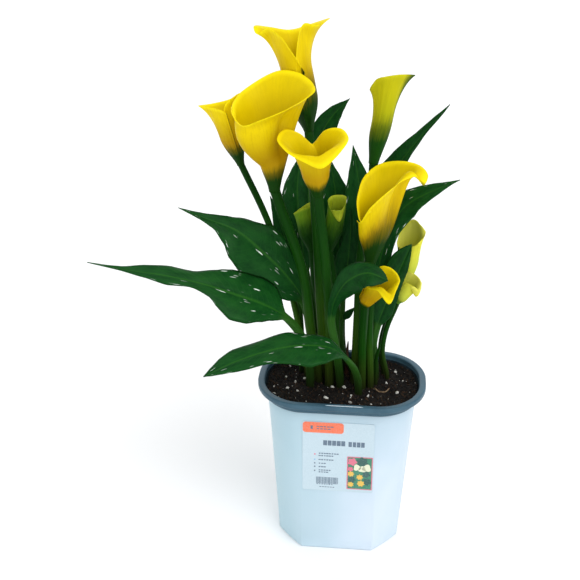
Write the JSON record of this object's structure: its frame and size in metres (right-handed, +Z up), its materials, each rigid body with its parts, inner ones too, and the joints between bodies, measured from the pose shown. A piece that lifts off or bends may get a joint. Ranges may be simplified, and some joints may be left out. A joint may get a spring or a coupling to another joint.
{
  "type": "potted calla lily",
  "caption": "Calla lily plant in flower: yellow funnel spathes and speckled lance leaves rising from soil in an oblong two-piece plastic pot.",
  "frame": {"origin": "centre of the outer pot's flat underside", "axes": "+Z up along the pot, -Y the front with the label, +X to the right seen from the front"},
  "size_m": [0.3379, 0.16, 0.5206],
  "materials": {
    "outer_pot": "pale blue-white moulded plastic, soft satin",
    "inner_pot": "dark slate-blue moulded plastic",
    "label": "coated paper label, print greeked",
    "soil": "dark peat potting mix with perlite",
    "tuber": "brown corky tuber skin",
    "scape": "fleshy green flower stalk",
    "spathe": "waxy golden-yellow petal, green at its base",
    "young_spathe": "waxy yellow-green petal of a young flower",
    "spadix": "beaded orange-yellow flower spike",
    "leaf": "satin dark green leaf with white flecks",
    "shoot": "reddish-brown young shoot"
  },
  "bodies": {
    "root": {"outer_pot": "outer_pot", "inner_pot": "inner_pot", "label": "label", "soil": "soil", "tuber_left": "tuber", "tuber_right": "tuber", "scape_top": "scape", "scape_left": "scape", "scape_large": "scape", "scape_small_front": "scape", "scape_upper_right": "scape", "scape_right": "scape", "scape_low_front": "scape", "scape_right_back": "scape", "scape_curled": "scape", "scape_young_left": "scape", "scape_young_right": "scape", "spathe_top": "spathe", "spathe_left": "spathe", "spathe_large": "spathe", "spathe_small_front": "spathe", "spathe_upper_right": "spathe", "spathe_right": "spathe", "spathe_low_front": "spathe", "spathe_right_back": "spathe", "spathe_curled": "spathe", "spathe_young_left": "young_spathe", "spathe_young_right": "young_spathe", "spadix_top": "spadix", "spadix_left": "spadix", "spadix_large": "spadix", "spadix_small_front": "spadix", "spadix_upper_right": "spadix", "spadix_right": "spadix", "spadix_low_front": "spadix", "spadix_right_back": "spadix", "spadix_curled": "spadix", "spadix_young_left": "spadix", "spadix_young_right": "spadix", "leaf_far_left": "leaf", "leaf_upper_left": "leaf", "leaf_low_left": "leaf", "leaf_front_right": "leaf", "leaf_centre_back": "leaf", "leaf_upper_right": "leaf", "leaf_right": "leaf", "leaf_low_right": "leaf", "leaf_top_back": "leaf", "leaf_left_back": "leaf", "leaf_high_back": "leaf", "leaf_spear": "leaf", "leaf_mid_back": "leaf", "leaf_young": "leaf", "shoot": "shoot", "sheath": "leaf"}
  },
  "joints": []
}
